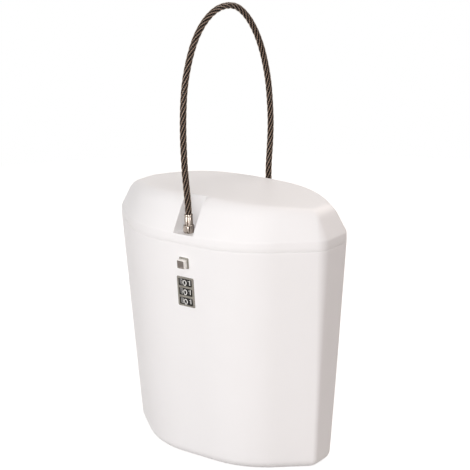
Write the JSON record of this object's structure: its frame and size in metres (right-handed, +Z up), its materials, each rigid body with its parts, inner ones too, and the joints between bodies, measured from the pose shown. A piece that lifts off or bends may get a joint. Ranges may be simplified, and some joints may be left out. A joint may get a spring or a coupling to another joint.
{
  "type": "portable lock box",
  "caption": "Tapered moulded box with a hinged lid, a steel rope loop that plugs through a notch in the lid, and a number lock with a release button.",
  "frame": {"origin": "middle of the box's flat foot, on the surface it stands on", "axes": "+Z up, -Y towards the number lock at the front, X along the hinge"},
  "size_m": [0.212, 0.1416, 0.3807],
  "materials": {
    "shell": "white satin-gloss moulded plastic",
    "pad": "soft dark sheet laid on the floor",
    "seal": "black seal strip",
    "steel": "plain steel",
    "plate": "grey metal with a fine brushed grain",
    "wheel": "black plastic with white digits",
    "brass": "turned brass",
    "housing": "grey die-cast metal",
    "cover": "pale plastic cover",
    "tab": "black plastic",
    "button": "dark polished metal",
    "bright": "polished steel",
    "rope": "dark twisted steel strands in a clear sleeve"
  },
  "bodies": {
    "case": {"body_shell": "shell", "floor_pad": "pad", "rim_seal": "seal", "hinge_pin": "steel", "number_plate": "plate", "wheel_spindle": "steel", "wheel_click_spring": "steel", "lock_housing": "housing", "lock_cover": "cover", "lock_screws": "steel", "button_collar": "plate", "button_spring": "steel"},
    "lid": {"lid_shell": "shell", "cable_plug": "bright", "rear_ferrule": "bright", "rear_washer": "steel", "rear_nut": "steel", "cable_loop": "rope"},
    "wheel_1": {"number_wheel_1": "wheel", "wheel_sleeve_1": "brass"},
    "wheel_2": {"number_wheel_2": "wheel", "wheel_sleeve_2": "brass"},
    "wheel_3": {"number_wheel_3": "wheel", "wheel_sleeve_3": "brass"},
    "button": {"release_button": "button"},
    "bolt": {"latch_bolt": "steel"},
    "reset": {"code_reset_tab": "tab"}
  },
  "joints": [
    {"name": "lid_hinge", "type": "hinge", "parent": "case", "child": "lid", "pos_m": [0, 0.0689, 0.193], "axis": [-1, 0, 0], "range_deg": [0, 105]},
    {"name": "wheel_1_turn", "type": "hinge", "parent": "case", "child": "wheel_1", "pos_m": [0, -0.05575, 0.15237], "axis": [0, -0.0672, 0.9977], "continuous": true},
    {"name": "wheel_2_turn", "type": "hinge", "parent": "case", "child": "wheel_2", "pos_m": [0, -0.05575, 0.15237], "axis": [0, -0.0672, 0.9977], "continuous": true},
    {"name": "wheel_3_turn", "type": "hinge", "parent": "case", "child": "wheel_3", "pos_m": [0, -0.05575, 0.15237], "axis": [0, -0.0672, 0.9977], "continuous": true},
    {"name": "button_press", "type": "slide", "parent": "case", "child": "button", "axis": [0, 0.9977, 0.0672], "range_m": [0, 0.003], "stiffness_N_per_m": 1200, "springref_m": -0.001, "deforming": ["button_spring"]},
    {"name": "bolt_slide", "type": "slide", "parent": "case", "child": "bolt", "axis": [0, 0.9977, 0.0672], "range_m": [-0.004, 0]},
    {"name": "reset_slide", "type": "slide", "parent": "case", "child": "reset", "axis": [1, 0, 0], "range_m": [0, 0.003]}
  ]
}
